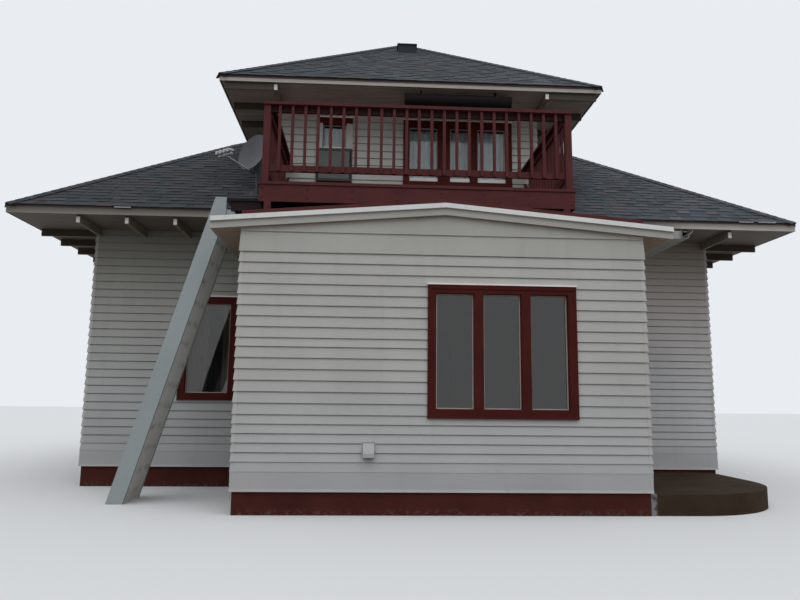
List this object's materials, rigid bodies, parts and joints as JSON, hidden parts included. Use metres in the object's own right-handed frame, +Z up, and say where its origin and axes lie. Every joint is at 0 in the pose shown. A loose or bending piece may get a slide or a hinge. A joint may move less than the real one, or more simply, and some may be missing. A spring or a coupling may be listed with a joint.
{
  "type": "house",
  "caption": "Wood-frame house with a hip roof, a raised upper storey, a low front extension carrying a railed roof deck, and an outside ship's ladder up to the deck.",
  "frame": {"origin": "The point on the ground in the middle of the house's outline, seen from above and counting the eaves and the extension", "axes": "+Z is up. The front with the extension, the deck and the ladder looks towards -Y. +X is to the right for someone who faces the front from outside."},
  "size_m": [12.14, 13.94, 8.7308],
  "materials": {
    "siding": "white paint, slightly weathered",
    "red_paint": "dark red paint, matte",
    "soffit_paint": "dark brown paint, matte",
    "shingles": "asphalt shingles with mineral granules",
    "foundation_paint": "dark red masonry paint on concrete",
    "concrete": "worn grey concrete",
    "floor_boards": "plain boards",
    "white_metal": "white enamel",
    "glass": "clear window glass",
    "sash_paint": "pale worn paint",
    "grey_metal": "grey paint, slightly rough",
    "shade_cloth": "dark woven cloth"
  },
  "bodies": {
    "root": {"main_foundation": "foundation_paint", "main_floor": "floor_boards", "front_wall": "siding", "left_wall": "siding", "right_wall": "siding", "back_wall": "siding", "upper_floor": "floor_boards", "upper_front_wall": "siding", "upper_back_wall": "siding", "cheek_walls": "siding", "main_roof": "shingles", "main_soffit": "soffit_paint", "main_fascia": "siding", "upper_roof": "shingles", "upper_soffit": "soffit_paint", "upper_fascia": "siding", "upper_frieze": "soffit_paint", "eave_brackets": "siding", "ridge_vent": "shingles", "extension_foundation": "foundation_paint", "extension_floor": "floor_boards", "extension_front_wall": "siding", "extension_left_wall": "siding", "extension_right_wall": "siding", "extension_roof": "shingles", "extension_fascia": "white_metal", "roof_edge_strip": "red_paint", "gutter": "white_metal", "extension_window": "red_paint", "front_window": "red_paint", "left_windows": "red_paint", "right_windows": "red_paint", "back_windows": "red_paint", "upper_front_windows": "red_paint", "upper_back_windows": "red_paint", "window_sashes": "sash_paint", "ground_glass": "glass", "upper_glass": "glass", "side_door": "siding", "deck": "red_paint", "deck_frame": "red_paint", "front_railing": "red_paint", "left_railing": "red_paint", "right_railing": "red_paint", "roof_landing": "red_paint", "ladder_stringers": "siding", "ladder_treads": "siding", "ladder_back": "siding", "stoop": "concrete", "dish_reflector": "grey_metal", "dish_mount": "grey_metal", "air_vent": "white_metal", "sun_shade": "shade_cloth"}
  },
  "joints": []
}
